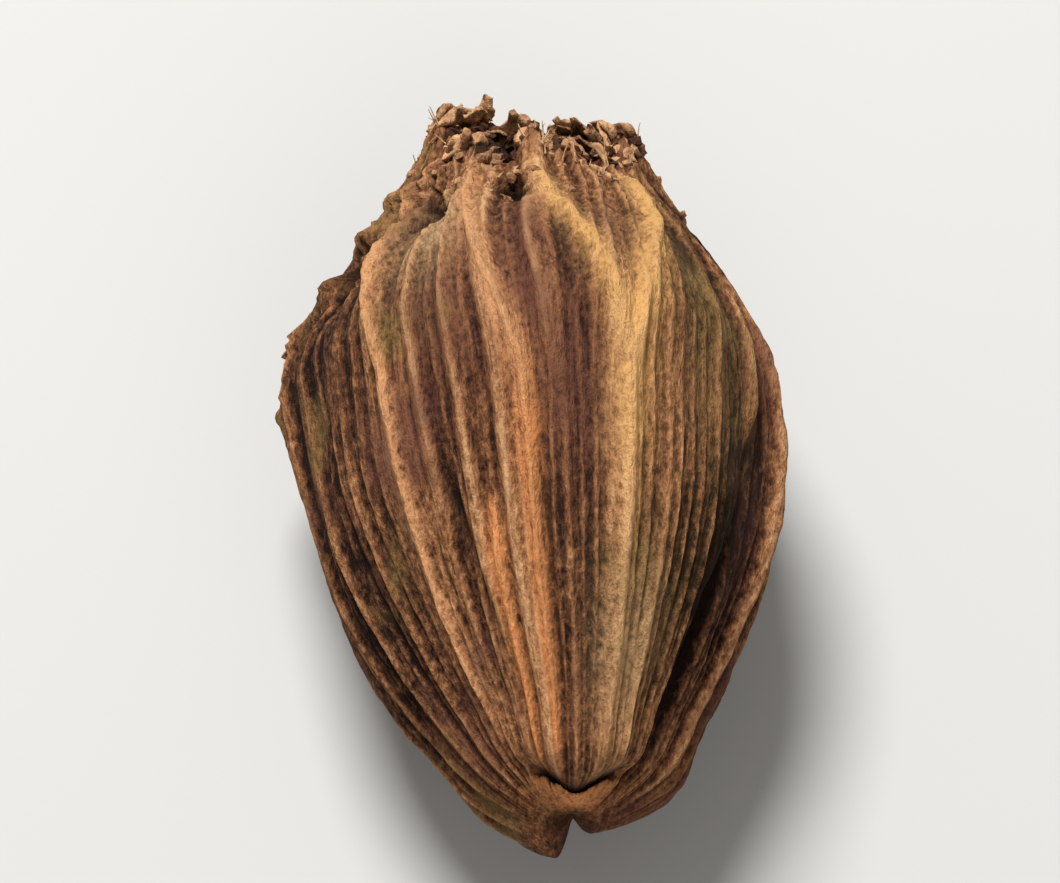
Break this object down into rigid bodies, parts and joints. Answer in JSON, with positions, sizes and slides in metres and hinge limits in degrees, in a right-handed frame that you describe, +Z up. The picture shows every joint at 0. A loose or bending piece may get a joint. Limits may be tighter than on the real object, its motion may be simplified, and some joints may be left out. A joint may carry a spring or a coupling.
{
  "type": "black cardamom pod",
  "caption": "Dried black cardamom pod: ribbed ovoid husk with furrowed valves, a puckered stalk end and a torn, withered flower end, lying on its side.",
  "frame": {"origin": "under the middle of the pod's bounding box, on the flat spot that it rests on", "axes": "+Y along the pod from the puckered stalk scar to the withered flower end; +Z up from the flat resting spot; +X across the pod"},
  "size_m": [0.0222, 0.0396, 0.0183],
  "materials": {
    "husk": "matt, dry, fibrous dark brown with tan rib tops"
  },
  "bodies": {
    "root": {"pod": "husk"}
  },
  "joints": []
}
